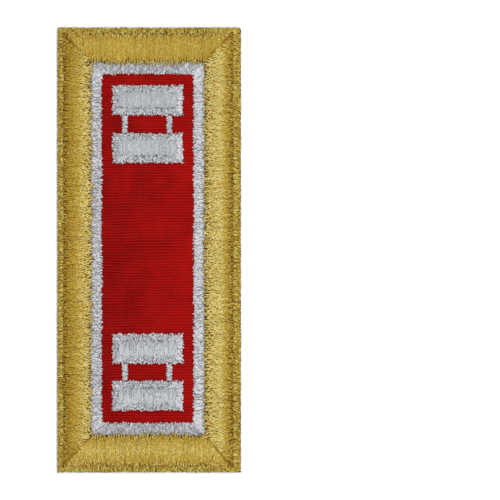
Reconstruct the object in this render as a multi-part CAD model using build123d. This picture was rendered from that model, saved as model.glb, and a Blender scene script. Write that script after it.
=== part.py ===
"""An embroidered shoulder strap, lying on its back with its face up.

Two flat cloth rectangles carry raised satin stitching. Gold stitching wraps the edge of the upper cloth,
inside it stands a padded gold border of four mitred sides, and inside that a narrow white edging frames
the ribbed ground cloth. At each end of the ground lie two padded white bars that a pair of links joins.
X runs across the strap, Y along it and Z up from its back. The origin is the middle of the back.
"""

from build123d import *
import os

# Overall size of the strap, in millimetres
strap_width = 42.0
strap_length = 101.6
corner_radius_top = 0.7
corner_radius_bottom = 0.4

# Clearance that neighbouring pieces keep from each other
stitch_gap = 0.06

# The two cloth layers
backing_thickness = 1.0
backing_setback = 0.12
ground_thickness = 1.0

# Edge stitching: gold thread that lies flat outside the border and turns down over the ground cloth's edge
edge_wall = 0.5
edge_cover = 0.5
edge_rounding = 0.4

# Width of the stitching on each side, seen from above
SIDE_WIDTHS = {
    "left": {"edge": 1.4, "border": 6.5},
    "right": {"edge": 1.75, "border": 6.75},
    "top": {"edge": 1.25, "border": 7.1},
    "bottom": {"edge": 1.3, "border": 7.75},
}

# Padded border: height above the ground cloth, and the place of its crest as a share of its width
border_height = 2.4
border_crest_share = 0.56

# White edging inside the border
edging_width = 2.4
edging_thickness = 0.6
edging_rounding = 0.25

# Bars: their size, and how far they lie from the edging at the sides
bar_height = 6.9
bar_side_gap = 2.3
rim_width = 1.4
rim_thickness = 0.65
rim_rounding = 0.25
fill_wall = 0.55
fill_height = 1.05

# Each pair of bars: how far it lies from the edging at its end, and how far its two bars lie apart
BAR_PAIRS = {
    "top": {"end_gap": 2.5, "spacing": 4.0},
    "bottom": {"end_gap": 2.7, "spacing": 3.8},
}

# Links between the two bars of a pair
link_width = 1.45
link_inset = 2.3
link_wall = 0.25
link_height = 0.6

# A rounded edge takes no more than this share of the wall that it lies on
greatest_rounding_share = 0.8
least_corner_radius = 0.1

# Levels above the back
ground_level = backing_thickness + stitch_gap
stitch_level = ground_level + ground_thickness + stitch_gap
edge_top = stitch_level + edge_cover


def inner_box(insets):
    """Left, right, bottom and top of the rectangle that each side of the strap draws in by its own inset."""
    return {
        "left": insets["left"] - strap_width / 2,
        "right": strap_width / 2 - insets["right"],
        "bottom": insets["bottom"] - strap_length / 2,
        "top": strap_length / 2 - insets["top"],
    }


def shrunk(box, inset):
    """The same rectangle drawn in by one inset all round, or let out by a negative one."""
    return {
        "left": box["left"] + inset,
        "right": box["right"] - inset,
        "bottom": box["bottom"] + inset,
        "top": box["top"] - inset,
    }


def box_face(box):
    """A rectangle's flat face."""
    centre = ((box["left"] + box["right"]) / 2, (box["bottom"] + box["top"]) / 2)
    return Pos(*centre) * Rectangle(box["right"] - box["left"], box["top"] - box["bottom"])


# Rectangles that the stitched bands follow, from the outside in
strap_box = inner_box({side: 0 for side in SIDE_WIDTHS})
border_outer = inner_box({side: widths["edge"] for side, widths in SIDE_WIDTHS.items()})
border_inner = inner_box({side: sum(widths.values()) for side, widths in SIDE_WIDTHS.items()})
edging_inner = shrunk(border_inner, edging_width)


def strap_outline(inset):
    """The strap's outline drawn in by an inset, with its rounded corners."""
    plan = box_face(shrunk(strap_box, inset))
    top_corners = plan.vertices().group_by(Axis.Y)[-1]
    plan = fillet(top_corners, max(corner_radius_top - inset, least_corner_radius))
    bottom_corners = plan.vertices().group_by(Axis.Y)[0]
    return fillet(bottom_corners, max(corner_radius_bottom - inset, least_corner_radius))


def slab(plan, bottom, thickness):
    """A flat plate over a plan face."""
    return extrude(Pos(0, 0, bottom) * plan, amount=thickness, dir=(0, 0, 1))


def round_top(plate, radius, wall):
    """The plate with its upper edges rounded, by no more than its wall allows."""
    return fillet(plate.edges().group_by(Axis.Z)[-1], min(radius, greatest_rounding_share * wall))


def backing_cloth():
    """The plain cloth that the strap lies on, a little inside the edge stitching."""
    return slab(strap_outline(backing_setback), 0, backing_thickness)


def ground_cloth():
    """The ribbed cloth that shows between the bars."""
    return slab(strap_outline(edge_wall + stitch_gap), ground_level, ground_thickness)


def edge_stitching():
    """A ring of thread that covers the flat margin and turns down over the ground cloth's cut edge."""
    block = slab(strap_outline(0), ground_level, edge_top - ground_level)
    block = round_top(block, edge_rounding, min(edge_wall, edge_cover))
    pocket = slab(strap_outline(edge_wall), ground_level, stitch_level - ground_level)
    window = slab(box_face(shrunk(border_outer, -stitch_gap / 2)), ground_level, edge_top - ground_level)
    return block - pocket - window


def border_profile(width):
    """Cross-section of the padded border: two quarter ellipses that meet at the crest."""
    outer_run = width * border_crest_share
    inner_run = width - outer_run
    crest_foot = (outer_run, 0)
    fall = EllipticalCenterArc(crest_foot, inner_run, border_height, start_angle=0, arc_size=90)
    rise = EllipticalCenterArc(crest_foot, outer_run, border_height, start_angle=90, arc_size=90)
    foot = Line((0, 0), (width, 0))
    return make_face([fall, rise, foot])


# Which way each side's width runs inward, and the corners at the two ends of the side
SIDE_LAYOUT = {
    "left": {"inward": (1, 0, 0), "ends": (("left", "bottom"), ("left", "top"))},
    "right": {"inward": (-1, 0, 0), "ends": (("right", "bottom"), ("right", "top"))},
    "top": {"inward": (0, -1, 0), "ends": (("left", "top"), ("right", "top"))},
    "bottom": {"inward": (0, 1, 0), "ends": (("left", "bottom"), ("right", "bottom"))},
}


def side_ends(box, side):
    """The two corners of a rectangle at the ends of one side."""
    return [Vector(box[column], box[row]) for column, row in SIDE_LAYOUT[side]["ends"]]


def border_side(side):
    """One side of the padded border, mitred at both ends against its neighbours."""
    first, last = side_ends(border_outer, side)
    inward = Vector(*SIDE_LAYOUT[side]["inward"])
    across = Plane(origin=(first.X, first.Y, stitch_level), x_dir=inward, z_dir=inward.cross(Vector(0, 0, 1)))
    run = (last - first).dot(across.z_dir)
    roll = extrude(across * border_profile(SIDE_WIDTHS[side]["border"]), amount=run)
    corners = side_ends(border_outer, side) + side_ends(border_inner, side)[::-1]
    plan = make_face(Polyline(*corners, close=True))
    plan = offset(plan, amount=-stitch_gap / 2, kind=Kind.INTERSECTION)
    return roll & slab(plan, stitch_level, border_height)


def stitched_frame(outer, inner, thickness, rounding):
    """A flat stitched frame between two rectangles, with its upper edges rounded."""
    frame = slab(box_face(outer) - box_face(inner), stitch_level, thickness)
    return round_top(frame, rounding, thickness)


def inner_edging():
    """The white frame between the border and the ground cloth."""
    outer = shrunk(border_inner, stitch_gap / 2)
    return stitched_frame(outer, edging_inner, edging_thickness, edging_rounding)


def bar_box(bottom):
    """The rectangle of a bar with its lower side at a given height along the strap."""
    return {
        "left": edging_inner["left"] + bar_side_gap,
        "right": edging_inner["right"] - bar_side_gap,
        "bottom": bottom,
        "top": bottom + bar_height,
    }


def bar_pairs():
    """The rectangles of the bars, as pairs of an upper and a lower bar, from the top end down."""
    top, bottom = BAR_PAIRS["top"], BAR_PAIRS["bottom"]
    first = edging_inner["top"] - top["end_gap"] - bar_height
    last = edging_inner["bottom"] + bottom["end_gap"]
    second = first - top["spacing"] - bar_height
    third = last + bottom["spacing"] + bar_height
    return [(bar_box(first), bar_box(second)), (bar_box(third), bar_box(last))]


def bar_rim(bar):
    """The flat stitched frame round a bar."""
    return stitched_frame(bar, shrunk(bar, rim_width), rim_thickness, rim_rounding)


def domed_strip(span, wall, height):
    """Cross-section with short straight walls and an arc over the top, centred on its span."""
    half = span / 2
    left = Line((-half, 0), (-half, wall))
    dome = ThreePointArc((-half, wall), (0, height), (half, wall))
    right = Line((half, wall), (half, 0))
    foot = Line((half, 0), (-half, 0))
    return make_face([left, dome, right, foot])


def bar_fill(bar):
    """The padded middle of a bar, domed across its short way."""
    inside = shrunk(bar, rim_width + stitch_gap)
    middle = (inside["bottom"] + inside["top"]) / 2
    across = Plane(origin=(inside["left"], middle, stitch_level), x_dir=(0, 1, 0), z_dir=(1, 0, 0))
    section = domed_strip(inside["top"] - inside["bottom"], fill_wall, fill_height)
    return extrude(across * section, amount=inside["right"] - inside["left"])


def link(upper, lower, centre):
    """A short rounded column of thread between the two bars of a pair."""
    start = upper["bottom"] - stitch_gap
    across = Plane(origin=(centre, start, stitch_level), x_dir=(1, 0, 0), z_dir=(0, -1, 0))
    section = domed_strip(link_width, link_wall, link_height)
    return extrude(across * section, amount=start - stitch_gap - lower["top"])


def pair_links(upper, lower):
    """The two links of a pair, the left one first."""
    reach = link_inset + link_width / 2
    return [link(upper, lower, centre) for centre in (upper["left"] + reach, upper["right"] - reach)]


def pieces():
    """Every piece of the strap by its name. Bars and links count from the top end down."""
    made = {
        "backing_cloth": backing_cloth(),
        "ground_cloth": ground_cloth(),
        "edge_stitching": edge_stitching(),
        "inner_edging": inner_edging(),
    }
    for side in SIDE_WIDTHS:
        made[f"border_{side}"] = border_side(side)
    pairs = bar_pairs()
    bars = [bar for pair in pairs for bar in pair]
    for number, bar in enumerate(bars, start=1):
        made[f"bar_{number}_rim"] = bar_rim(bar)
        made[f"bar_{number}_fill"] = bar_fill(bar)
    links = [made_link for pair in pairs for made_link in pair_links(*pair)]
    for number, made_link in enumerate(links, start=1):
        made[f"link_{number}"] = made_link
    return made


os.makedirs("parts", exist_ok=True)
for name, piece in pieces().items():
    piece.label = name
    export_step(piece, f"parts/{name}.step")
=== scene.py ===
import math
from collections import namedtuple

import bpy
from mathutils import Matrix, Vector, noise


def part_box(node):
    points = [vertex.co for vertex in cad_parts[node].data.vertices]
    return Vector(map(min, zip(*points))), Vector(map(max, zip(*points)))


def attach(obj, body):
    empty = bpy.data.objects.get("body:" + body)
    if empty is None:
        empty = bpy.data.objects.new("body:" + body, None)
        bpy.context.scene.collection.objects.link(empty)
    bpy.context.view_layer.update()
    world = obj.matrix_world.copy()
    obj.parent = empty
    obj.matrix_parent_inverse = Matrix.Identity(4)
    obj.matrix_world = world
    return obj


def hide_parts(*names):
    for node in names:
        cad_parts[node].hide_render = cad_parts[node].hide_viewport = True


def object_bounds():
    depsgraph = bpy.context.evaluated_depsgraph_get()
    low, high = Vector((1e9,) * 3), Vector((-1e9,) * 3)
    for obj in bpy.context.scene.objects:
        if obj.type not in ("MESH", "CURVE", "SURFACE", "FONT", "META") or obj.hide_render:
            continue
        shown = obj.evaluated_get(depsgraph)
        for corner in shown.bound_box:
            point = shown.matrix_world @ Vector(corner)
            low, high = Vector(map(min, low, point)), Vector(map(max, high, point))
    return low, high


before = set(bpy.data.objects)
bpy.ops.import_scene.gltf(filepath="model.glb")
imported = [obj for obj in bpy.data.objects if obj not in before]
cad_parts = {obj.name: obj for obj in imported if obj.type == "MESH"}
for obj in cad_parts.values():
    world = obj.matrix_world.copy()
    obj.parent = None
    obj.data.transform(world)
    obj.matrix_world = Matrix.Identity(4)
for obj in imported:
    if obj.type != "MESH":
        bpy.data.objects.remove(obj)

CAD_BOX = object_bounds()
MM = 0.001

Rect = namedtuple("Rect", "left right bottom top")
Row = namedtuple("Row", "corner turn length width start_mitre end_mitre", defaults=(0.0, 0.0))

# Threads: the distance between needle holes along a stitched edge, and a thread's radius and sides
GOLD_SPACING = 0.6 * MM
GOLD_RADIUS = 0.175 * MM
WHITE_SPACING = 0.62 * MM
WHITE_RADIUS = 0.17 * MM
THREAD_SIDES = 5

# Unevenness of the threads: how far a hole strays along its edge, in hole spacings, and the thinnest and
# thickest thread as shares of the radius. For a strand that a mitre cuts short, how far it overlaps the
# mitre, and how near its end its dip and painted shade are deepest and where they start
HOLE_STRAY = 0.25
THREAD_THICKNESS = (0.86, 1.12)
MITRE_OVERLAP = (0.05 * MM, 0.3 * MM)
MITRE_DIP_AND_PAINTED_SHADE = (0.1 * MM, 0.5 * MM)

# Lengths over which a stitched edge wanders, threads weave and change colour, and their twist turns once
WANDER_LENGTH = 4.0 * MM
WEAVE_LENGTH = 0.42 * MM
FLECK_LENGTH = 0.38 * MM
TWIST_LENGTH = 0.75 * MM

# Each thread's colours, from the painted shade of its hollows to its brightest tips and crests, which
# carry painted highlight as well as random grain, and the lightness from which and to which it changes to a
# colour
Dye = namedtuple("Dye", "hollow deep base bright")
THREAD_COLOURS = {
    "gold_thread": Dye((0.13, 0.052, 0.0), (0.32, 0.17, 0.002), (0.48, 0.32, 0.035), (0.67, 0.56, 0.19)),
    # The edge's gold: a more olive set of the same colours, which stands in for its sheen as painted sheen
    "gold_edge_thread_painted_sheen": Dye((0.07, 0.028, 0.0), (0.3, 0.17, 0.003), (0.46, 0.33, 0.035), (0.63, 0.53, 0.14)),
    "white_thread": Dye((0.05, 0.05, 0.06), (0.24, 0.24, 0.27), (0.42, 0.42, 0.445), (0.68, 0.69, 0.71)),
    "white_fill_thread": Dye((0.09, 0.09, 0.11), (0.27, 0.285, 0.31), (0.4, 0.42, 0.445), (0.57, 0.59, 0.61)),
}
COLOUR_CHANGES = {"deep": (-0.9, 0.05), "base": (0.0, 0.55), "bright": (0.5, 1.0)}

# Matt fibres: the scale of their grain, its colours in the hollows, a painted shade, and on top, its
# roughness and depth
Fibre = namedtuple("Fibre", "scale dark light roughness relief")
FIBRES = {
    "gold_underlay": Fibre(1800.0, (0.1, 0.045, 0.005), (0.2, 0.1, 0.014), 0.7, 0.1 * MM),
    "white_underlay": Fibre(1800.0, (0.13, 0.13, 0.15), (0.28, 0.28, 0.31), 0.7, 0.1 * MM),
    "backing_cloth": Fibre(900.0, (0.018, 0.018, 0.021), (0.07, 0.07, 0.075), 0.75, 0.12 * MM),
}

# Padded gold border: the crest's place as a share of a side's width, the height of its inner foot,
# how far its inner edge bows in at mid-length, how far its stitches sweep round at a corner, how far
# from the inner edge the needle has caught its threads, how much of their unevenness is left in the
# middle, how light they are at the outer edge, which is partly painted light that differs by side, how
# much painted highlight the crest gets, and how much painted shade falls from there to the inner edge
BorderSide = namedtuple("BorderSide", "crest foot bow sweep caught calm lightness brighter dimmer")
BORDER_SIDES = {
    "left": BorderSide(0.66, 1.5 * MM, 0.24 * MM, 4.5 * MM, 3.0 * MM, 0.4, 0.12, 0.5, 0.0),
    "top": BorderSide(0.42, 0.7 * MM, 0.75 * MM, 0.5 * MM, 1.8 * MM, 0.25, 0.42, 0.06, 0.1),
    "right": BorderSide(0.42, 1.2 * MM, 0.08 * MM, 4.5 * MM, 4.2 * MM, 0.35, 0.15, 0.6, 0.2),
    "bottom": BorderSide(0.5, 0.5 * MM, 0.45 * MM, 0.5 * MM, 1.8 * MM, 0.3, 0.42, 0.22, 0.28),
}

# All four sides of it: the height of its outer foot and of its threads' inner ends, and how far its
# inner edge stands back at the top and the bottom
BORDER_START = 0.45 * MM
BORDER_TIPS = 1.0 * MM
CORNER_REACH = 0.35 * MM

# Flat gold stitching on the edge: how far it is tucked under the border, its crest's place as a share of
# its width, and how far it falls from there to its inner edge
EDGE_TUCK = 0.3 * MM
EDGE_CREST = 0.75
EDGE_FALL = 0.08 * MM

# White edging, bars and links: widths, how far one is tucked under the next, how much narrower a link
# is than its node, and how light each side of a frame is, which is painted light and shade by side
EDGING_WIDTH = 2.4 * MM
EDGING_TUCK = 0.4 * MM
RIM_WIDTH = 1.4 * MM
RIM_TUCK = 0.3 * MM
LINK_TRIM = 0.25 * MM
EDGING_PAINTED_LIGHT = {"left": 0.6, "top": 0.48, "right": 0.78, "bottom": 0.42}
RIM_PAINTED_LIGHT = {"left": 0.35, "top": 0.4, "right": 0.8, "bottom": 0.45}

# Seeds that each kind of stitched piece counts up from, and the step from one bar's rim to the next
SEEDS = {"border": 0, "edge": 20, "edging": 40, "rim": 50, "fill": 110, "link": 120}
RIM_SEED_STEP = 10

# Corners of the strap
TOP_CORNER = 0.7 * MM
BOTTOM_CORNER = 0.4 * MM

# Red cloth: its ribs, and how far they waver
RIB_PITCH = 0.651 * MM
RIB_DEPTH = 0.2 * MM
RIB_WAVER = 0.5 * MM

# Lamps, in metres and watts
LAMPS = {
    "overhead": {"place": (0.06, 0.0, 0.7), "size": 0.3, "power": 3.9},
    "top_end": {"place": (0.05, 0.55, 0.45), "size": 0.3, "power": 1.35},
    "bottom_end": {"place": (0.05, -0.55, 0.45), "size": 0.3, "power": 1.35},
}
SKY_STRENGTH = 0.18

# Camera: the photograph's frame and scale, the strap's centre in that frame, the lens and the sensor
FRAME_PIXELS = 500
PIXELS_PER_MM = 4.3878
STRAP_CENTRE_PIXEL = (149.0, 250.0)
LENS_MM = 200.0
SENSOR_MM = 36.0


# Node trees

class Field:
    """A socket of a node tree that takes part in sums as a number does."""

    def __init__(self, plan, socket):
        self.plan = plan
        self.socket = socket

    def __add__(self, other):
        return self.plan.sum("ADD", self, other)

    def __sub__(self, other):
        return self.plan.sum("SUBTRACT", self, other)

    def __rsub__(self, other):
        return self.plan.sum("SUBTRACT", other, self)

    def __mul__(self, other):
        return self.plan.sum("MULTIPLY", self, other)

    __radd__ = __add__
    __rmul__ = __mul__

    def __truediv__(self, other):
        return self.plan.sum("DIVIDE", self, other)

    def __rtruediv__(self, other):
        return self.plan.sum("DIVIDE", other, self)

    def __pow__(self, other):
        return self.plan.sum("POWER", self, other)


def open_socket(sockets, name):
    """The socket of that name which the node's options leave in use."""
    return next(socket for socket in sockets if socket.name == name and socket.enabled)


class Plan:
    """A node tree under construction, with short ways to add nodes and sums."""

    def __init__(self, tree):
        self.tree = tree

    def feed(self, socket, value):
        """Link a field to an input, or set a plain value on it."""
        if isinstance(value, Field):
            self.tree.links.new(value.socket, socket)
        else:
            socket.default_value = value

    def feed_all(self, node, feeds):
        """Feed a node's inputs by their names."""
        for name, value in feeds.items():
            self.feed(open_socket(node.inputs, name), value)

    def put(self, kind, feeds=None, **options):
        """Add a node, set its options and feed its inputs."""
        node = self.tree.nodes.new(kind)
        for option, value in options.items():
            setattr(node, option, value)
        self.feed_all(node, feeds or {})
        return node

    def output(self, node, name):
        """A named output of a node, as a field."""
        return Field(self, open_socket(node.outputs, name))

    def make(self, kind, feeds=None, **options):
        """Add a node and give back its first output, as a field."""
        node = self.put(kind, feeds, **options)
        return Field(self, next(socket for socket in node.outputs if socket.enabled))

    def sum(self, operation, *values):
        """The result of a Math node."""
        node = self.tree.nodes.new("ShaderNodeMath")
        node.operation = operation
        for socket, value in zip(node.inputs, values):
            self.feed(socket, value)
        return Field(self, node.outputs[0])

    def smooth_step(self, value, low, high):
        """A number that rises smoothly from 0 at low to 1 at high."""
        feeds = {"Value": value, "From Min": low, "From Max": high}
        return self.make("ShaderNodeMapRange", feeds, interpolation_type="SMOOTHSTEP")

    def choose(self, condition, if_one, if_zero):
        """One of two numbers, by a condition that is 1 or 0."""
        return if_zero + condition * (if_one - if_zero)

    def drift(self, place):
        """A number from -1 to 1 that changes smoothly along a line, about once in each unit of its place."""
        feeds = {"W": place, "Scale": 1.0, "Detail": 1.0}
        return self.make("ShaderNodeTexNoise", feeds, noise_dimensions="1D") * 2.0 - 1.0

    def ripple(self, x, y):
        """A number from -1 to 1 that changes smoothly over a plane."""
        feeds = {"Vector": self.vector(x, y, 0.0), "Scale": 1.0, "Detail": 1.0}
        return self.make("ShaderNodeTexNoise", feeds, noise_dimensions="2D") * 2.0 - 1.0

    def vector(self, x, y, z):
        """A vector of three numbers."""
        return self.make("ShaderNodeCombineXYZ", {"X": x, "Y": y, "Z": z})

    def blend(self, share, first, second):
        """A colour between two others."""
        feeds = {"Factor": share, "A": first, "B": second}
        return self.output(self.put("ShaderNodeMix", feeds, data_type="RGBA"), "Result")

    def bump(self, height, distance, strength):
        """The way that a surface faces where fine relief tilts it."""
        return self.make("ShaderNodeBump", {"Height": height, "Distance": distance, "Strength": strength})


FLOAT = "NodeSocketFloat"
WHOLE = "NodeSocketInt"
MATERIAL = "NodeSocketMaterial"
GEOMETRY = "NodeSocketGeometry"
COLOUR = "NodeSocketColor"
VECTOR = "NodeSocketVector"


def start_tree(name, kind, inputs, outputs):
    """A new node tree with named inputs and outputs: the tree, its inputs as fields, and its output node."""
    tree = bpy.data.node_groups.new(name, kind)
    for socket, socket_kind in inputs.items():
        tree.interface.new_socket(socket, in_out="INPUT", socket_type=socket_kind)
    for socket, socket_kind in outputs.items():
        tree.interface.new_socket(socket, in_out="OUTPUT", socket_type=socket_kind)
    plan = Plan(tree)
    entry = plan.put("NodeGroupInput")
    given = {socket: plan.output(entry, socket) for socket in inputs}
    return plan, given, plan.put("NodeGroupOutput")


class Geometry(Plan):
    """A geometry node tree under construction."""

    def keep(self, geometry, name, value, domain="POINT"):
        """Store a number on a geometry under a name."""
        feeds = {"Geometry": geometry, "Name": name, "Value": value}
        return self.make("GeometryNodeStoreNamedAttribute", feeds, data_type="FLOAT", domain=domain)

    def kept(self, name):
        """A number that was stored on a geometry."""
        return self.make("GeometryNodeInputNamedAttribute", {"Name": name}, data_type="FLOAT")

    def random(self, low, high, number, seed):
        """A random number for each whole number."""
        feeds = {"Min": low, "Max": high, "ID": number, "Seed": seed}
        return self.make("FunctionNodeRandomValue", feeds, data_type="FLOAT")

    def share(self):
        """How far along its curve a point lies, from 0 to 1."""
        return self.output(self.put("GeometryNodeSplineParameter"), "Factor")

    def line(self, start, end, points):
        """A straight curve of evenly spaced points."""
        curve = self.make("GeometryNodeCurvePrimitiveLine", {"Start": start, "End": end})
        return self.make("GeometryNodeResampleCurve", {"Curve": curve, "Count": points})

    def place(self, geometry, x, y, z):
        """The geometry with its points moved to new places."""
        feeds = {"Geometry": geometry, "Position": self.vector(x, y, z)}
        return self.make("GeometryNodeSetPosition", feeds)

    def join(self, *parts):
        """Several geometries as one."""
        both = self.put("GeometryNodeJoinGeometry")
        for part in parts:
            self.tree.links.new(part.socket, both.inputs["Geometry"])
        return self.output(both, "Geometry")

    def finish(self, geometry, material):
        """The geometry shaded smooth, in a material."""
        smooth = self.make("GeometryNodeSetShadeSmooth", {"Geometry": geometry})
        return self.make("GeometryNodeSetMaterial", {"Geometry": smooth, "Material": material})


def start_geometry(name, inputs):
    """A new geometry node tree, its inputs and its output node."""
    plan, given, result = start_tree(name, "GeometryNodeTree", inputs, {"Geometry": GEOMETRY})
    return Geometry(plan.tree), given, result


# Satin stitching

ROW_SHAPE = (
    "Length", "Near run", "Far run", "Near drop", "Far drop", "Squareness", "Padding depth",
    "Start mitre", "End mitre", "Cut at mitre", "Fan zone", "Corner sweep",
)
THREAD_SHAPE = (
    "Hole spacing", "Thread radius", "Gather", "Taper", "Near reach", "Far reach", "Far bow", "Wander",
    "Calm", "Stroke", "Ruffle", "Lift", "Near dip", "Far dip", "Near catch", "Far catch", "Catch depth",
)
# Inputs for how light a strand is: mostly painted light and shade, by side, at the crest, at the tips and in
# the needle holes, besides its random grain
THREAD_SHADE = (
    "Lightness", "Crest lightness", "Painted far shade", "Near tips", "Grain", "Catch shade", "Hole shade",
)
SATIN_INPUTS = {
    **dict.fromkeys(ROW_SHAPE + THREAD_SHAPE + THREAD_SHADE, FLOAT),
    "Steps": WHOLE,
    "Seed": WHOLE,
    "Thread": MATERIAL,
    "Padding": MATERIAL,
}


# Offsets that keep each random number of a row, and each smooth pattern of it, from following another
DRAWS = {
    "near reach": 0, "far reach": 1, "tone": 4, "thickness": 5,
    "mitre overlap": 6, "near hole": 7, "far hole": 8, "hole shade": 9,
}
PATTERNS = {"ruffle": 0.0, "lift": 300.0, "catch": 600.0, "catch fleck": 700.0, "grain": 900.0}


class SatinRow(Geometry):
    """A tree for a row of zigzag satin stitches over a rounded padding, mitred or fanned at its ends.

    X runs across the row from its near edge to its far one, Y along it, and Z up from its near foot."""

    def __init__(self):
        plan, given, self.result = start_geometry("satin_row", SATIN_INPUTS)
        super().__init__(plan.tree)
        self.given = given
        self.width = given["Near run"] + given["Far run"]
        self.holes = self.sum("ROUND", given["Length"] / given["Hole spacing"])
        self.spacing = given["Length"] / self.holes
        self.strand = self.kept("strand")
        self.way = self.share()
        self.middle = (self.strand + 0.5) / 2.0
        self.turn = self.sum("MODULO", self.strand, 2.0) * 2.0 - 1.0
        self.along = self.middle * self.spacing
        self.to_end = given["Length"] - self.along

    def chance(self, low, high, number, draw):
        """A random number for each strand or hole."""
        return self.random(low, high, number, self.given["Seed"] + DRAWS[draw])

    def section(self, angle):
        """Across and height of the padding's section.

        The angle is 0 at its near foot and half a turn at its far one."""
        given = self.given
        cosine = self.sum("COSINE", angle)
        flatness = 2.0 / given["Squareness"]
        near = self.sum("GREATER_THAN", cosine, 0.0)
        out = self.sum("ABSOLUTE", cosine) ** flatness
        up = self.sum("MAXIMUM", self.sum("SINE", angle), 0.0) ** flatness
        near_across = given["Near run"] * (1.0 - out)
        far_across = self.width - given["Far run"] * (1.0 - out)
        far_height = given["Near drop"] - given["Far drop"] * (1.0 - up)
        across = self.choose(near, near_across, far_across)
        return across, self.choose(near, given["Near drop"] * up, far_height)

    def loose_strands(self):
        """One straight, numbered strand for each pass of the needle."""
        line = self.line((0, 0, 0), (1, 0, 0), self.given["Steps"])
        points = self.make("GeometryNodePoints", {"Count": self.holes * 2.0})
        strands = self.make("GeometryNodeInstanceOnPoints", {"Points": points, "Instance": line})
        strands = self.keep(strands, "strand", self.make("GeometryNodeInputIndex"), "INSTANCE")
        return self.make("GeometryNodeRealizeInstances", {"Geometry": strands})

    def needle_holes(self):
        """The numbers of a strand's two needle holes. It shares one of them with each neighbour."""
        near = self.sum("FLOOR", (self.strand + 1.0) / 2.0)
        far = self.sum("FLOOR", self.strand / 2.0)
        return near, far

    def needle_pull(self, near_hole, far_hole, tips):
        """How far a strand is drawn along the row to its needle holes, in hole spacings."""
        near_pull = 1.0 - self.smooth_step(self.way, 0.0, self.given["Gather"])
        far_pull = self.smooth_step(self.way, 1.0 - self.given["Gather"], 1.0) * tips
        near_place = near_hole + self.chance(-HOLE_STRAY, HOLE_STRAY, near_hole, "near hole")
        far_place = far_hole + 0.5 + self.chance(-HOLE_STRAY, HOLE_STRAY, far_hole, "far hole")
        return (near_place - self.middle) * near_pull + (far_place - self.middle) * far_pull

    def fan(self, mitre, from_corner):
        """How far from a corner a strand's far end lies if the strands fan round that corner."""
        zone = self.given["Fan zone"]
        return self.given[mitre] + from_corner * zone / (zone + self.given[mitre])

    def fanned_end(self):
        """Where along the row a strand ends if the strands fan round the corners."""
        place = self.sum("MAXIMUM", self.along, self.fan("Start mitre", self.along))
        last = self.given["Length"] - self.fan("End mitre", self.to_end)
        return self.sum("MINIMUM", place, last)

    def sweep(self, from_corner):
        """How far a strand's far end is swept toward a corner, the more the nearer that corner is."""
        fade = self.width * 0.8
        return self.given["Corner sweep"] * self.sum("EXPONENT", from_corner / fade * -1.0)

    def mitred_end(self):
        """Where along the row a strand would end past its mitre, and the share of the row that it crosses."""
        given = self.given
        start_sweep, end_sweep = self.sweep(self.along), self.sweep(self.to_end)
        start_share = self.along / (given["Start mitre"] + start_sweep)
        end_share = self.to_end / (given["End mitre"] + end_sweep)
        overlap = self.chance(*MITRE_OVERLAP, self.strand, "mitre overlap")
        share = self.sum("MINIMUM", start_share, end_share) + overlap / self.width
        return self.along - start_sweep + end_sweep, self.sum("MINIMUM", share, 1.0)

    def last_angle(self, share):
        """The section's angle at which a strand ends that crosses only a share of the row."""
        near_run, far_run = self.given["Near run"], self.given["Far run"]
        reach = share * self.width
        ends_near = self.sum("LESS_THAN", reach, near_run)
        rest = self.choose(ends_near, 1.0 - reach / near_run, 1.0 - (self.width - reach) / far_run)
        rest = self.sum("MAXIMUM", rest, 0.0) ** (self.given["Squareness"] / 2.0)
        angle = self.sum("ARCCOSINE", rest)
        return self.choose(ends_near, angle, math.pi - angle)

    def uneven_edges(self, near_hole, far_hole):
        """How far the stitches miss the row's edges: each hole by its own measure, with a drift and a bow."""
        given = self.given
        from_row_to_row, from_edge_to_edge = 7.0, 50.0
        fade = 1.6
        place = self.along / WANDER_LENGTH + given["Seed"] * from_row_to_row
        near = given["Near reach"] * self.chance(-1.0, 1.0, near_hole, "near reach")
        near = near + given["Wander"] * self.drift(place)
        far = given["Far reach"] * self.chance(-1.0, 1.0, far_hole, "far reach")
        far = far + given["Wander"] * self.drift(place + from_edge_to_edge)
        far = far + given["Far bow"] * self.sum("SINE", self.along / given["Length"] * math.pi)
        return far * self.way ** fade - near * (1.0 - self.way) ** fade

    def edge_zones(self, across):
        """1 at the row's near edge and at its far one, where the needle works, each 0 over its middle."""
        near_zone = 1.0 - self.smooth_step(across, 0.0, self.given["Near catch"])
        return near_zone, self.smooth_step(across, self.width - self.given["Far catch"], self.width)

    def restless(self, across):
        """How much of its unevenness a strand shows: all of it at the row's edges, less over its middle."""
        calm = self.given["Calm"]
        near_zone, far_zone = self.edge_zones(across)
        return calm + (1.0 - calm) * (near_zone + far_zone)

    def weave(self, across, pattern):
        """A number that wanders along the strands and is turned about from each one to the next."""
        stretch = self.given["Stroke"] * 1.2
        ripple = self.ripple(across / stretch + PATTERNS[pattern], self.along / WEAVE_LENGTH)
        return self.turn * ripple * self.restless(across)

    def fleck(self, across, pattern):
        """A number that wanders along each strand in a way of its own."""
        from_strand_to_strand = 7.3
        place = across / self.given["Stroke"] + PATTERNS[pattern]
        return self.ripple(place, self.strand * from_strand_to_strand) * self.restless(across)

    def caught(self, across, tips):
        """Up to 1 where the needle has caught a strand and drawn it down, which sets its dip and its painted
        shade.

        That is often at the row's edges, and seldom and less deep between."""
        near_zone, far_zone = self.edge_zones(across)
        zone = near_zone + far_zone
        often = zone ** 2.0 * 0.4 * tips
        drawn = self.weave(across, "catch") * 0.7 + self.fleck(across, "catch fleck") + often
        free, held = 0.42, 0.62
        in_middle = 0.4
        return self.smooth_step(drawn, free, held) * (in_middle + (1.0 - in_middle) * zone)

    def mitre_dip_and_painted_shade(self, share, tips):
        """How far a strand that a mitre cuts short dips, and how much painted shade it has: most at its very
        end, and 0 before it.
        """
        left = share * self.width * (1.0 - self.way)
        return (1.0 - self.smooth_step(left, *MITRE_DIP_AND_PAINTED_SHADE)) * (1.0 - tips)

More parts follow.
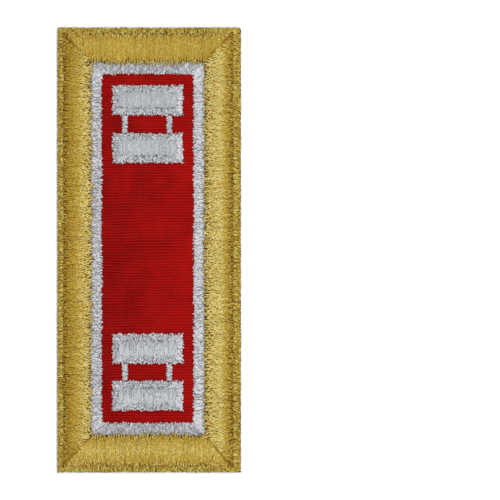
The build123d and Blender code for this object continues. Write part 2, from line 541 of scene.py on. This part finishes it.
    def ride(self, across, tips, caught, mitre):
        """How high a strand rides over its neighbours, less how deep it goes where it is caught and ends."""
        given = self.given
        up_by, down_from = 0.08, 0.93
        near_dip = given["Near dip"] * (1.0 - self.smooth_step(self.way, 0.0, up_by))
        far_dip = given["Far dip"] * self.smooth_step(self.way, down_from, 1.0) * tips
        lift = given["Lift"] * self.weave(across, "lift") - given["Catch depth"] * caught - mitre
        return given["Thread radius"] * lift - near_dip - far_dip

    def hole_shade(self, across, far_hole):
        """Painted shade of the needle holes just before a strand's far hole: how much darker, or lighter, it
        is there, by chance for each hole.
        """
        start, end = 0.5 * MM, 0.25 * MM
        shaded = self.smooth_step(across, self.width - start, self.width - end)
        return shaded * self.given["Hole shade"] * self.chance(-1.0, 1.0, far_hole, "hole shade")

    def lightness(self, across, far_hole, caught, mitre):
        """How light a strand is: painted highlight toward the crest and at its tips, painted shade where it
        is caught or goes down, and random grain.
        """
        given = self.given
        # Painted highlight that climbs to the crest, and painted shade that falls from there to the far edge
        climb = self.sum("MINIMUM", across / given["Near run"], 1.0) ** 1.5
        fall = self.smooth_step(across, given["Near run"], self.width)
        light = given["Lightness"] + climb * given["Crest lightness"] - fall * given["Painted far shade"]
        near_zone, far_zone = self.edge_zones(across)
        # Painted highlight on the tips at both edges
        painted_far_tip_light = 0.4
        tips = near_zone ** 2.0 * given["Near tips"] + far_zone ** 2.0 * painted_far_tip_light
        # Painted shade where the needle draws a strand down, before its far holes and at a mitre
        painted_shade = given["Catch shade"] * caught + self.hole_shade(across, far_hole) + mitre
        return light + tips + given["Grain"] * self.fleck(across, "grain") - painted_shade

    def strands(self):
        """The strands laid over the padding, with what their material needs kept on them."""
        near_hole, far_hole = self.needle_holes()
        mitred_end, share = self.mitred_end()
        mitred = self.given["Cut at mitre"]
        end = self.choose(mitred, mitred_end, self.fanned_end())
        share = self.choose(mitred, share, 1.0)
        # How much of its far tip a strand shows: all if it crosses the row, little if a mitre cuts it short
        cut_short = 0.2
        tips = cut_short + (1.0 - cut_short) * self.sum("GREATER_THAN", share, 0.999)
        across, height = self.section(self.last_angle(share) * self.way)
        turn = (end - self.along) * across / self.width
        pull = self.needle_pull(near_hole, far_hole, tips)
        pull = pull + self.given["Ruffle"] * self.weave(across, "ruffle")
        # Where the needle catches a strand, and where a mitre cuts it short, it dips and takes painted shade
        caught = self.caught(across, tips)
        mitre = self.mitre_dip_and_painted_shade(share, tips)
        light = self.lightness(across, far_hole, caught, mitre)
        height = height + self.ride(across, tips, caught, mitre)
        across = across + self.uneven_edges(near_hole, far_hole)
        # The kept light is painted light and shade, with random grain
        laid = self.keep(self.loose_strands(), "light", light)
        laid = self.keep(laid, "tips", tips)
        laid = self.place(laid, across, self.along + turn + pull * self.spacing, height)
        laid = self.keep(laid, "tone", self.chance(0.0, 1.0, self.strand, "tone"))
        run = self.output(self.put("GeometryNodeSplineParameter"), "Length")
        return self.keep(laid, "run", run)

    def threads(self):
        """Round threads along the strands, drawn thin at their ends."""
        given = self.given
        feeds = {"Resolution": THREAD_SIDES, "Radius": given["Thread radius"]}
        ring = self.keep(self.make("GeometryNodeCurvePrimitiveCircle", feeds), "around", self.share())
        thinner_near, thinner_far = 0.4, 0.5
        near_taper = 1.0 - self.smooth_step(self.way, 0.0, 0.1)
        far_taper = self.smooth_step(self.way, 1.0 - given["Taper"], 1.0) * self.kept("tips")
        thickness = self.chance(*THREAD_THICKNESS, self.strand, "thickness")
        thickness = thickness * (1.0 - thinner_near * near_taper - thinner_far * far_taper)
        feeds = {"Curve": self.strands(), "Profile Curve": ring, "Scale": thickness, "Fill Caps": True}
        return self.finish(self.make("GeometryNodeCurveToMesh", feeds), given["Thread"])

    def padding(self):
        """The closed padding under the threads, cut to the row's mitres."""
        given = self.given
        depth = given["Padding depth"]
        outline_points, rail_points = 20, 3
        across, height = self.section(self.share() * math.pi)
        above_foot = self.sum("LESS_THAN", self.share(), 0.99)
        outline = self.line((0, 0, 0), (1, 0, 0), outline_points)
        outline = self.keep(outline, "section_x", depth + across * (1.0 - depth * 2.0 / self.width))
        outline = self.keep(outline, "section_z", height * above_foot * (1.0 - depth / given["Near drop"]))
        outline = self.place(outline, self.kept("section_x"), self.kept("section_z"), 0.0)
        outline = self.make("GeometryNodeSetSplineCyclic", {"Geometry": outline, "Cyclic": True})
        rail = self.keep(self.line((0, 0, 0), (0, 1, 0), rail_points), "rail", self.share())
        feeds = {"Curve": rail, "Profile Curve": outline, "Fill Caps": True}
        body = self.make("GeometryNodeCurveToMesh", feeds)
        across = self.kept("section_x")
        first = given["Start mitre"] * across / self.width + depth
        last = given["Length"] - given["End mitre"] * across / self.width - depth
        body = self.place(body, across, first + (last - first) * self.kept("rail"), self.kept("section_z"))
        return self.finish(body, given["Padding"])

    def finished_tree(self):
        """The finished tree."""
        both = self.join(self.padding(), self.threads())
        self.feed(self.result.inputs["Geometry"], both)
        return self.tree


def add_object(name, data):
    """A new object in the scene."""
    thing = bpy.data.objects.new(name, data)
    bpy.context.scene.collection.objects.link(thing)
    return thing


def grow(tree, name, values):
    """The plain mesh that a geometry node tree makes from its named inputs."""
    seed_mesh = bpy.data.meshes.new(name)
    seed_object = add_object(name, seed_mesh)
    modifier = seed_object.modifiers.new("growth", "NODES")
    modifier.node_group = tree
    sockets = {s.name: s.identifier for s in tree.interface.items_tree if s.in_out == "INPUT"}
    for socket, value in values.items():
        modifier[sockets[socket]] = value
    evaluated = seed_object.evaluated_get(bpy.context.evaluated_depsgraph_get())
    mesh = bpy.data.meshes.new_from_object(evaluated)
    bpy.data.objects.remove(seed_object)
    bpy.data.meshes.remove(seed_mesh)
    mesh.name = name
    return mesh


def piece_of(name, meshes):
    """One piece of the strap from one or more meshes."""
    parts = [add_object(name, mesh) for mesh in meshes]
    piece = parts[0]
    if len(parts) > 1:
        with bpy.context.temp_override(active_object=piece, selected_editable_objects=parts):
            bpy.ops.object.join()
    piece.name = name
    piece.data.name = name
    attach(piece, "root")
    return piece


# Places taken from the frame

def rect_of(node):
    """A node's outline seen from above."""
    low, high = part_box(node)
    return Rect(low.x, high.x, low.y, high.y)


def drawn_in(rect, inset):
    """A rectangle drawn in by the same inset all round."""
    return Rect(rect.left + inset, rect.right - inset, rect.bottom + inset, rect.top - inset)


def level(node, which):
    """The height of a node's lowest or highest point, by 0 or 1."""
    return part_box(node)[which].z


EDGE_OUTER = rect_of("edge_stitching")
BORDER_OUTER = Rect(
    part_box("border_left")[0].x,
    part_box("border_right")[1].x,
    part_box("border_bottom")[0].y,
    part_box("border_top")[1].y,
)
EDGING_OUTER = Rect(
    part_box("border_left")[1].x,
    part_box("border_right")[0].x,
    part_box("border_bottom")[1].y,
    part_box("border_top")[0].y,
)
BORDER_INNER = EDGING_OUTER._replace(
    bottom=EDGING_OUTER.bottom - CORNER_REACH,
    top=EDGING_OUTER.top + CORNER_REACH,
)
EDGING_INNER = drawn_in(EDGING_OUTER, EDGING_WIDTH)
STITCH_LEVEL = level("border_left", 0)


def side_rows(outer, inner):
    """The four rows of stitches between two rectangles, by side.

    A row starts at a corner and runs clockwise, with its near edge on the outer rectangle."""
    widths = {
        "left": inner.left - outer.left,
        "top": outer.top - inner.top,
        "right": outer.right - inner.right,
        "bottom": inner.bottom - outer.bottom,
    }
    across = outer.right - outer.left
    along = outer.top - outer.bottom
    layout = {
        "left": ((outer.left, outer.bottom), 0.0, along, "bottom", "top"),
        "top": ((outer.left, outer.top), -90.0, across, "left", "right"),
        "right": ((outer.right, outer.top), 180.0, along, "top", "bottom"),
        "bottom": ((outer.right, outer.bottom), 90.0, across, "right", "left"),
    }
    rows = {}
    for side, (corner, turn, length, before, after) in layout.items():
        rows[side] = Row(corner, turn, length, widths[side], widths[before], widths[after])
    return rows


def upright_row(rect):
    """A single row over a rectangle, with its near edge on the left."""
    return Row((rect.left, rect.bottom), 0.0, rect.top - rect.bottom, rect.right - rect.left)


def level_row(rect, near_edge_on_top):
    """A single row over a rectangle, with its near edge on the top or the bottom."""
    length, width = rect.right - rect.left, rect.top - rect.bottom
    if near_edge_on_top:
        return Row((rect.left, rect.top), -90.0, length, width)
    return Row((rect.right, rect.bottom), 90.0, length, width)


def set_down(mesh, corner, turn, height):
    """Turn a mesh about the vertical and set its start down on a corner."""
    place = Matrix.Translation((corner[0], corner[1], height))
    mesh.transform(place @ Matrix.Rotation(math.radians(turn), 4, "Z"))
    return mesh


# Materials

def new_material(name):
    """An empty material: itself, its plan, and its surface shader."""
    material = bpy.data.materials.new(name)
    material.use_nodes = True
    plan = Plan(material.node_tree)
    return material, plan, material.node_tree.nodes["Principled BSDF"]


def attribute(plan, name):
    """A number that was kept on the mesh."""
    return plan.output(plan.put("ShaderNodeAttribute", attribute_name=name), "Fac")


def thread_dye_group():
    """Embroidery thread: its colour and roughness change from thread to thread and in short flecks along
    each thread, its colour follows the painted light and shade kept on the mesh, lighter up the padding, and
    its plies are twisted."""
    inputs = dict.fromkeys(Dye._fields, COLOUR)
    outputs = {"Colour": COLOUR, "Roughness": FLOAT, "Normal": VECTOR}
    plan, given, result = start_tree("thread_dye", "ShaderNodeTree", inputs, outputs)
    tone, run = attribute(plan, "tone"), attribute(plan, "run")
    light, around = attribute(plan, "light"), attribute(plan, "around")
    from_thread_to_thread = 900.0
    flecks = plan.ripple(run / FLECK_LENGTH, tone * from_thread_to_thread)
    # The kept light is painted light and shade with random grain; its darkest reaches the painted hollow
    # shade
    shade = tone * 0.12 + light + flecks * 0.4
    colour = given["hollow"]
    for name, change in COLOUR_CHANGES.items():
        colour = plan.blend(plan.smooth_step(shade, *change), colour, given[name])
    plies, start = 2.0, 5.0
    turns = run / TWIST_LENGTH + around * plies + tone * start
    twist = plan.sum("SINE", turns * (2.0 * math.pi))
    normal = plan.bump(twist, 0.03 * MM, 0.7)
    plan.feed_all(result, {"Colour": colour, "Roughness": 0.32 + tone * 0.16, "Normal": normal})
    return plan.tree


def thread_material(name, dye):
    """Lustrous embroidery thread in its colours."""
    material, plan, shader = new_material(name)
    colours = {socket: (*colour, 1.0) for socket, colour in THREAD_COLOURS[name]._asdict().items()}
    finish = plan.put("ShaderNodeGroup", colours, node_tree=dye)
    plan.feed_all(shader, {
        "Base Color": plan.output(finish, "Colour"),
        "Roughness": plan.output(finish, "Roughness"),
        "Normal": plan.output(finish, "Normal"),
        "Specular IOR Level": 0.35,
    })
    return material


def fibre_material(name):
    """Matt fibres with a random grain, of a darker colour in their hollows, as painted shade, and of a
    lighter one on top.
    """
    fibre = FIBRES[name]
    material, plan, shader = new_material(name)
    spot = plan.output(plan.put("ShaderNodeTexCoord"), "Object")
    feeds = {"Vector": spot, "Scale": fibre.scale, "Detail": 3.0, "Distortion": 1.0}
    grain = plan.make("ShaderNodeTexNoise", feeds)
    # The same grain that raises the fibres darkens their hollows: random grain and painted shade
    plan.feed_all(shader, {
        "Base Color": plan.blend(grain, (*fibre.dark, 1.0), (*fibre.light, 1.0)),
        "Roughness": fibre.roughness + grain * 0.2,
        "Normal": plan.bump(grain, fibre.relief, 0.8),
        "Specular IOR Level": 0.2,
    })
    return material


def red_cloth_material():
    """Fine ribbed cloth, with thin warp threads across its ribs: painted shade darkens its grooves, and
    painted light makes it lighter toward the right.
    """
    material, plan, shader = new_material("red_ribbed_cloth")
    spot = plan.output(plan.put("ShaderNodeTexCoord"), "Object")
    crest = attribute(plan, "crest")
    patch = plan.make("ShaderNodeTexNoise", {"Vector": spot, "Scale": 170.0, "Detail": 3.0})
    fleck = plan.make("ShaderNodeTexNoise", {"Vector": spot, "Scale": 2600.0, "Detail": 1.0})
    across = plan.output(plan.put("ShaderNodeSeparateXYZ", {"Vector": spot}), "X")
    painted_light_per_metre = 9.0
    # Painted shade in the grooves, random patches and flecks, and painted light that rises toward the right
    shade = crest * 0.6 + (patch - 0.5) * 0.7 + (fleck - 0.5) * 0.6 + across * painted_light_per_metre + 0.1
    dark, light = (0.1, 0.0012, 0.001, 1.0), (0.36, 0.0045, 0.0032, 1.0)
    feeds = {"Vector": spot, "Scale": 620.0, "Distortion": 1.5, "Detail": 1.0, "Detail Scale": 0.4}
    warp = plan.make("ShaderNodeTexWave", feeds, bands_direction="X")
    plan.feed_all(shader, {
        "Base Color": plan.blend(plan.smooth_step(shade, -0.1, 1.0), dark, light),
        "Roughness": 0.5 + fleck * 0.25,
        "Normal": plan.bump(warp + fleck * 0.6, 0.05 * MM, 0.7),
        "Specular IOR Level": 0.03,
    })
    return material


def floor_material():
    """Plain pale table top."""
    material, plan, shader = new_material("pale_floor")
    pale = (0.96, 0.96, 0.96, 1.0)
    plan.feed_all(shader, {"Base Color": pale, "Roughness": 0.9, "Specular IOR Level": 0.1})
    return material


DYE = thread_dye_group()
GOLD = thread_material("gold_thread", DYE)
# The edge's thread, in colours that stand in for its sheen
EDGE_GOLD_PAINTED_SHEEN = thread_material("gold_edge_thread_painted_sheen", DYE)
WHITE = thread_material("white_thread", DYE)
FILL_WHITE = thread_material("white_fill_thread", DYE)
GOLD_PADDING = fibre_material("gold_underlay")
WHITE_PADDING = fibre_material("white_underlay")
FELT = fibre_material("backing_cloth")
RED_CLOTH = red_cloth_material()
SATIN_ROW = SatinRow().finished_tree()


# Stitched pieces

def style(**named):
    """Inputs of a satin row, from keyword names."""
    return {name.replace("_", " ").capitalize(): value for name, value in named.items()}


# Styles of stitching. An input that a row isn't given is 0. Their catch shade and hole shade are painted
# shade in the needle holes, and their near tips and crest lightness are painted highlight.
BORDER_STYLE = style(
    cut_at_mitre=1.0,
    squareness=1.8,
    hole_spacing=GOLD_SPACING,
    thread_radius=GOLD_RADIUS,
    fan_zone=1.0 * MM,
    gather=0.32,
    taper=0.25,
    near_reach=0.3 * MM,
    far_reach=0.4 * MM,
    wander=0.12 * MM,
    stroke=0.55 * MM,
    ruffle=0.9,
    lift=3.0,
    near_catch=2.0 * MM,
    catch_depth=2.5,
    catch_shade=0.8,
    grain=1.2,
    padding_depth=0.16 * MM,
    steps=46,
    thread=GOLD,
    padding=GOLD_PADDING,
)
EDGE_STYLE = style(
    squareness=3.0,
    hole_spacing=GOLD_SPACING,
    thread_radius=GOLD_RADIUS,
    fan_zone=1.5 * MM,
    gather=0.2,
    taper=0.3,
    far_reach=0.3 * MM,
    wander=0.06 * MM,
    calm=0.8,
    stroke=0.35 * MM,
    ruffle=0.8,
    lift=2.0,
    near_dip=GOLD_RADIUS,
    far_dip=GOLD_RADIUS,
    near_catch=0.8 * MM,
    far_catch=1.1 * MM,
    catch_depth=2.0,
    catch_shade=1.8,
    # Painted highlight that rises toward the crest of the edge's rows
    lightness=0.2,
    crest_lightness=0.3,
    near_tips=0.4,
    grain=1.5,
    padding_depth=0.14 * MM,
    steps=15,
    thread=EDGE_GOLD_PAINTED_SHEEN,
    padding=GOLD_PADDING,
)
WHITE_STYLE = style(
    squareness=2.6,
    hole_spacing=WHITE_SPACING,
    thread_radius=WHITE_RADIUS,
    taper=0.3,
    wander=0.06 * MM,
    stroke=0.28 * MM,
    ruffle=0.6,
    lift=2.0,
    near_dip=WHITE_RADIUS,
    far_dip=WHITE_RADIUS,
    catch_depth=2.0,
    catch_shade=1.7,
    lightness=0.5,
    near_tips=0.4,
    grain=1.1,
    padding_depth=0.15 * MM,
    thread=WHITE,
    padding=WHITE_PADDING,
)
EDGING_STYLE = {**WHITE_STYLE, **style(
    fan_zone=2.6 * MM,
    gather=0.25,
    near_reach=0.1 * MM,
    far_reach=0.22 * MM,
    wander=0.05 * MM,
    calm=0.9,
    near_catch=1.1 * MM,
    far_catch=1.2 * MM,
    padding_depth=0.16 * MM,
    steps=15,
)}
RIM_STYLE = {**WHITE_STYLE, **style(
    hole_spacing=0.6 * MM,
    fan_zone=1.6 * MM,
    gather=0.4,
    near_reach=0.22 * MM,
    far_reach=0.12 * MM,
    calm=1.0,
    near_catch=0.9 * MM,
    far_catch=0.9 * MM,
    catch_shade=2.1,
    grain=1.4,
    steps=12,
)}
FILL_STYLE = {**WHITE_STYLE, **style(
    hole_spacing=0.56 * MM,
    fan_zone=1.0 * MM,
    gather=0.15,
    near_reach=0.3 * MM,
    far_reach=0.2 * MM,
    wander=0.05 * MM,
    calm=0.5,
    stroke=0.4 * MM,
    ruffle=0.4,
    lift=1.0,
    near_catch=0.8 * MM,
    far_catch=1.0 * MM,
    catch_depth=1.5,
    hole_shade=1.8,
    lightness=0.6,
    steps=16,
    thread=FILL_WHITE,
)}
# The lower bars' fill takes painted light from below: lighter overall, with painted highlight on its lower
# slope rather than at its crest
LOWER_FILL_STYLE = {**FILL_STYLE, **style(
    calm=0.9,
    near_catch=1.5 * MM,
    lightness=1.1,
    crest_lightness=-0.5,
)}
LINK_STYLE = {**WHITE_STYLE, **style(
    hole_spacing=0.56 * MM,
    fan_zone=1.0 * MM,
    gather=0.35,
    near_reach=0.1 * MM,
    far_reach=0.1 * MM,
    calm=0.7,
    ruffle=0.5,
    lift=1.5,
    near_catch=0.7 * MM,
    far_catch=0.7 * MM,
    catch_depth=1.2,
    padding_depth=0.12 * MM,
    steps=10,
)}


def satin_row(name, row, style_inputs, seed, foot, near_drop, far_drop, changes=None):
    """The mesh of one row of satin stitches, set down in its place."""
    values = {
        "Length": row.length,
        "Near run": row.width * 0.5,
        "Far run": row.width * 0.5,
        "Start mitre": row.start_mitre,
        "End mitre": row.end_mitre,
        "Near drop": near_drop,
        "Far drop": far_drop,
        "Seed": seed,
        **style_inputs,
        **(changes or {}),
    }
    return set_down(grow(SATIN_ROW, name, values), row.corner, row.turn, foot)


def border_piece(side, row, seed):
    """One side of the padded gold border."""
    shape = BORDER_SIDES[side]
    foot = STITCH_LEVEL + BORDER_START
    rise = level(f"border_{side}", 1) - foot - GOLD_RADIUS
    # Painted light by side, painted highlight at the crest and painted shade toward the inner edge
    changes = {
        "Near run": row.width * shape.crest,
        "Far run": row.width * (1.0 - shape.crest),
        "Far bow": shape.bow,
        "Far dip": max(shape.foot - BORDER_TIPS, 0.5 * GOLD_RADIUS),
        "Corner sweep": shape.sweep,
        "Far catch": shape.caught,
        "Calm": shape.calm,
        "Lightness": shape.lightness,
        "Crest lightness": shape.brighter,
        "Painted far shade": shape.dimmer,
    }
    name = f"gold_border_{side}"
    mesh = satin_row(name, row, BORDER_STYLE, seed, foot, rise, rise - shape.foot + BORDER_START, changes)
    piece = piece_of(name, [mesh])
    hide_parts(f"border_{side}")


def round_corner(mesh, corner, radius, right, up):
    """Pull the points in a square corner of the outline onto a round one."""
    centre = Vector((corner[0] - right * radius, corner[1] - up * radius))
    for vertex in mesh.vertices:
        out_x = (vertex.co.x - centre.x) * right
        out_y = (vertex.co.y - centre.y) * up
        if out_x > 0 and out_y > 0:
            pull = max(out_x, out_y) / math.hypot(out_x, out_y)
            vertex.co.x = centre.x + out_x * pull * right
            vertex.co.y = centre.y + out_y * pull * up


def edge_piece():
    """The gold stitching on the flat margin, which turns down over the cloth's edge."""
    low, high = level("edge_stitching", 0), level("edge_stitching", 1)
    outline = drawn_in(EDGE_OUTER, GOLD_RADIUS * 0.7)
    inner = drawn_in(BORDER_OUTER, EDGE_TUCK)
    rise = high - low - GOLD_RADIUS
    meshes = []
    for seed, (side, row) in enumerate(side_rows(outline, inner).items(), SEEDS["edge"]):
        changes = {"Near run": row.width * EDGE_CREST, "Far run": row.width * (1.0 - EDGE_CREST)}
        meshes.append(satin_row(f"edge_{side}", row, EDGE_STYLE, seed, low, rise, EDGE_FALL, changes))
    piece = piece_of("gold_edge_stitching", meshes)
    for right, x in ((-1, EDGE_OUTER.left), (1, EDGE_OUTER.right)):
        round_corner(piece.data, (x, EDGE_OUTER.top), TOP_CORNER, right, 1)
        round_corner(piece.data, (x, EDGE_OUTER.bottom), BOTTOM_CORNER, right, -1)
    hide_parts("edge_stitching")


def white_frame(name, node, outer, inner, style_inputs, lightness, seed):
    """A frame of four rows of white stitches between two rectangles, each with its own painted light."""
    rise = level(node, 1) - STITCH_LEVEL - WHITE_RADIUS
    meshes = []
    for row_seed, (side, row) in enumerate(side_rows(outer, inner).items(), seed):
        # Painted light and shade that differ from side to side
        changes = {"Lightness": lightness[side]}
        mesh = satin_row(f"{name}_{side}", row, style_inputs, row_seed, STITCH_LEVEL, rise, rise, changes)
        meshes.append(mesh)
    piece = piece_of(name, meshes)
    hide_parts(node)


def white_band(name, node, row, style_inputs, seed):
    """A single band of white stitches."""
    rise = level(node, 1) - STITCH_LEVEL - WHITE_RADIUS
    piece = piece_of(name, [satin_row(name, row, style_inputs, seed, STITCH_LEVEL, rise, rise)])
    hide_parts(node)
    return piece


def edging_piece():
    """The white edging, tucked under the inner foot of the gold border."""
    node = "inner_edging"
    outer = drawn_in(EDGING_OUTER, -EDGING_TUCK)
    seed = SEEDS["edging"]
    white_frame("white_edging", node, outer, EDGING_INNER, EDGING_STYLE, EDGING_PAINTED_LIGHT, seed)


def rim_piece(number):
    """The stitched frame round a bar."""
    node = f"bar_{number}_rim"
    outer = drawn_in(rect_of(node), WHITE_RADIUS * 0.6)
    inner = drawn_in(rect_of(node), RIM_WIDTH + RIM_TUCK)
    seed = SEEDS["rim"] + RIM_SEED_STEP * number
    white_frame(f"white_bar_{number}_rim", node, outer, inner, RIM_STYLE, RIM_PAINTED_LIGHT, seed)


def fill_piece(number):
    """The padded middle of a bar, under threads that run along the strap."""
    node = f"bar_{number}_fill"
    in_top_pair = number <= 2
    row = level_row(rect_of(node), near_edge_on_top=in_top_pair)
    # The lower pair takes painted light from below
    stitches = FILL_STYLE if in_top_pair else LOWER_FILL_STYLE
    piece = white_band(f"white_bar_{number}_fill", node, row, stitches, SEEDS["fill"] + number)


def link_piece(number):
    """A short column of thread between two bars."""
    node = f"link_{number}"
    rect = rect_of(node)
    row = upright_row(rect._replace(right=rect.right - LINK_TRIM))
    white_band(f"white_link_{number}", node, row, LINK_STYLE, SEEDS["link"] + number)


# Cloth

RIBBED_INPUTS = {
    **dict.fromkeys(("Width", "Length", "Thickness", "Rib pitch", "Rib depth", "Waver"), FLOAT),
    "Columns": WHOLE,
    "Rows per rib": WHOLE,
    "Cloth": MATERIAL,
}


def ribbed_cloth_tree():
    """A cloth with rounded ribs that run across it and waver a little. Z runs up from its underside."""
    plan, given, result = start_geometry("ribbed_cloth", RIBBED_INPUTS)
    ribs = plan.sum("ROUND", given["Length"] / given["Rib pitch"])
    feeds = {
        "Size X": given["Width"],
        "Size Y": given["Length"],
        "Vertices X": given["Columns"],
        "Vertices Y": ribs * given["Rows per rib"] + 1.0,
    }
    sheet = plan.make("GeometryNodeMeshGrid", feeds)
    spot = plan.make("GeometryNodeInputPosition")
    parts = plan.put("ShaderNodeSeparateXYZ", {"Vector": spot})
    x, y = plan.output(parts, "X"), plan.output(parts, "Y")
    sway = plan.make("ShaderNodeTexNoise", {"Vector": spot, "Scale": 75.0, "Detail": 1.5})
    phase = (y + (sway - 0.5) * 2.0 * given["Waver"]) / given["Rib pitch"]
    crest = plan.sum("ABSOLUTE", plan.sum("SINE", phase * math.pi)) ** 0.8
    # The crests are kept for the cloth's material, which paints shade into the grooves between them
    sheet = plan.keep(sheet, "crest", crest)
    feeds = {"Mesh": sheet, "Offset Scale": given["Thickness"], "Individual": False}
    slab = plan.put("GeometryNodeExtrudeMesh", feeds)
    height = given["Thickness"] - given["Rib depth"] * (1.0 - plan.kept("crest"))
    feeds = {
        "Geometry": plan.output(slab, "Mesh"),
        "Selection": plan.output(slab, "Top"),
        "Position": plan.vector(x, y, height),
    }
    upper = plan.make("GeometryNodeSetPosition", feeds)
    under = plan.make("GeometryNodeFlipFaces", {"Mesh": sheet})
    feeds = {"Geometry": plan.join(upper, under), "Distance": 0.01 * MM}
    closed = plan.make("GeometryNodeMergeByDistance", feeds)
    plan.feed(result.inputs["Geometry"], plan.finish(closed, given["Cloth"]))
    return plan.tree


def ground_piece():
    """The red ribbed ground cloth."""
    low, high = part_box("ground_cloth")
    flat = (high.x - low.x, high.y - low.y)
    values = {
        "Width": flat[0],
        "Length": flat[1],
        "Thickness": high.z - low.z,
        "Rib pitch": RIB_PITCH,
        "Rib depth": RIB_DEPTH,
        "Waver": RIB_WAVER,
        "Columns": 14,
        "Rows per rib": 7,
        "Cloth": RED_CLOTH,
    }
    mesh = set_down(grow(ribbed_cloth_tree(), "red_ground_cloth", values), (0, 0), 0, low.z)
    piece = piece_of("red_ground_cloth", [mesh])
    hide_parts("ground_cloth")


def cut_outline(rect, corner_radius, step):
    """Points round a rectangle with round corners, each with the direction that leads out from it."""
    quarter_steps = 6
    inner = drawn_in(rect, corner_radius)
    corners = [
        (inner.right, inner.bottom, -90),
        (inner.right, inner.top, 0),
        (inner.left, inner.top, 90),
        (inner.left, inner.bottom, 180),
    ]
    points = []
    for (x, y, start), (next_x, next_y, _) in zip(corners, corners[1:] + corners[:1]):
        for i in range(quarter_steps):
            angle = math.radians(start + 90 * i / quarter_steps)
            points.append((Vector((x, y)), Vector((math.cos(angle), math.sin(angle)))))
        out = Vector((math.cos(math.radians(start + 90)), math.sin(math.radians(start + 90))))
        run = Vector((next_x, next_y)) - Vector((x, y))
        stretches = round(run.length / step)
        for i in range(stretches):
            points.append((Vector((x, y)) + run * (i / stretches), out))
    return [(centre + out * corner_radius, out) for centre, out in points]


def felt_mesh(rect, low, high):
    """A flat cloth with a softly rounded, slightly uneven cut edge."""
    rounding = 0.3 * MM
    unevenness = 0.1 * MM
    turns = 5
    outline = cut_outline(rect, TOP_CORNER, 0.5 * MM)
    vertices = []
    for rise in (0, 1):
        for turn in range(turns):
            angle = math.radians(90 * turn / (turns - 1))
            if rise:
                inset, z = rounding * (1 - math.cos(angle)), high - rounding * (1 - math.sin(angle))
            else:
                inset, z = rounding * (1 - math.sin(angle)), low + rounding * (1 - math.cos(angle))
            for point, out in outline:
                waver = noise.noise((point.x * 700, point.y * 700, 3.0)) * unevenness
                edge = point + out * (waver - inset)
                vertices.append((edge.x, edge.y, z))
    count = len(outline)
    rings = len(vertices) // count
    faces = [tuple(reversed(range(count))), tuple(range((rings - 1) * count, rings * count))]
    for ring in range(rings - 1):
        for i in range(count):
            near, far = ring * count + i, ring * count + (i + 1) % count
            faces.append((near, far, far + count, near + count))
    mesh = bpy.data.meshes.new("felt_backing")
    mesh.from_pydata(vertices, [], faces)
    mesh.materials.append(FELT)
    for polygon in mesh.polygons:
        polygon.use_smooth = len(polygon.vertices) == 4
    return mesh


def backing_piece():
    """The dark backing cloth."""
    low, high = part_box("backing_cloth")
    piece = piece_of("felt_backing", [felt_mesh(rect_of("backing_cloth"), low.z, high.z)])
    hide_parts("backing_cloth")


# Stage

def add_floor():
    """A wide pale floor at the strap's back."""
    half = 1.5
    corners = [(-half, -half, 0), (half, -half, 0), (half, half, 0), (-half, half, 0)]
    mesh = bpy.data.meshes.new("floor")
    mesh.from_pydata(corners, [], [(0, 1, 2, 3)])
    mesh.materials.append(floor_material())
    floor = add_object("floor", mesh)


def add_lamp(name, values):
    """A soft square lamp that faces the middle of the strap."""
    lamp = bpy.data.lights.new(name, "AREA")
    lamp.size = values["size"]
    lamp.energy = values["power"]
    holder = add_object(name, lamp)
    holder.location = values["place"]
    holder.rotation_euler = (-holder.location).to_track_quat("-Z", "Y").to_euler()


def add_camera():
    """A camera straight above the photograph's middle, with the strap where the photograph has it."""
    view_width = FRAME_PIXELS / PIXELS_PER_MM * MM
    distance = view_width * LENS_MM / SENSOR_MM
    middle = FRAME_PIXELS / 2
    camera = bpy.data.cameras.new("camera")
    camera.lens = LENS_MM
    camera.sensor_width = SENSOR_MM
    holder = add_object("camera", camera)
    across = (middle - STRAP_CENTRE_PIXEL[0]) / PIXELS_PER_MM * MM
    along = (STRAP_CENTRE_PIXEL[1] - middle) / PIXELS_PER_MM * MM
    holder.location = (across, along, distance + CAD_BOX[1][2] / 2)
    bpy.context.scene.camera = holder


def light_scene():
    """Soft studio light from above and from both ends, shown in its plain colours."""
    scene = bpy.context.scene
    scene.view_settings.view_transform = "Standard"
    world = bpy.data.worlds.new("studio")
    world.use_nodes = True
    background = world.node_tree.nodes["Background"]
    background.inputs["Color"].default_value = (1.0, 1.0, 1.0, 1.0)
    background.inputs["Strength"].default_value = SKY_STRENGTH
    scene.world = world
    for name, values in LAMPS.items():
        add_lamp(name, values)


backing_piece()
ground_piece()
edge_piece()
BORDER_ROWS = side_rows(BORDER_OUTER, BORDER_INNER)
for border_seed, border_side in enumerate(BORDER_ROWS, SEEDS["border"]):
    border_piece(border_side, BORDER_ROWS[border_side], border_seed)
edging_piece()
for bar_number in (1, 2, 3, 4):
    rim_piece(bar_number)
    fill_piece(bar_number)
for link_number in (1, 2, 3, 4):
    link_piece(link_number)
add_floor()
light_scene()
add_camera()
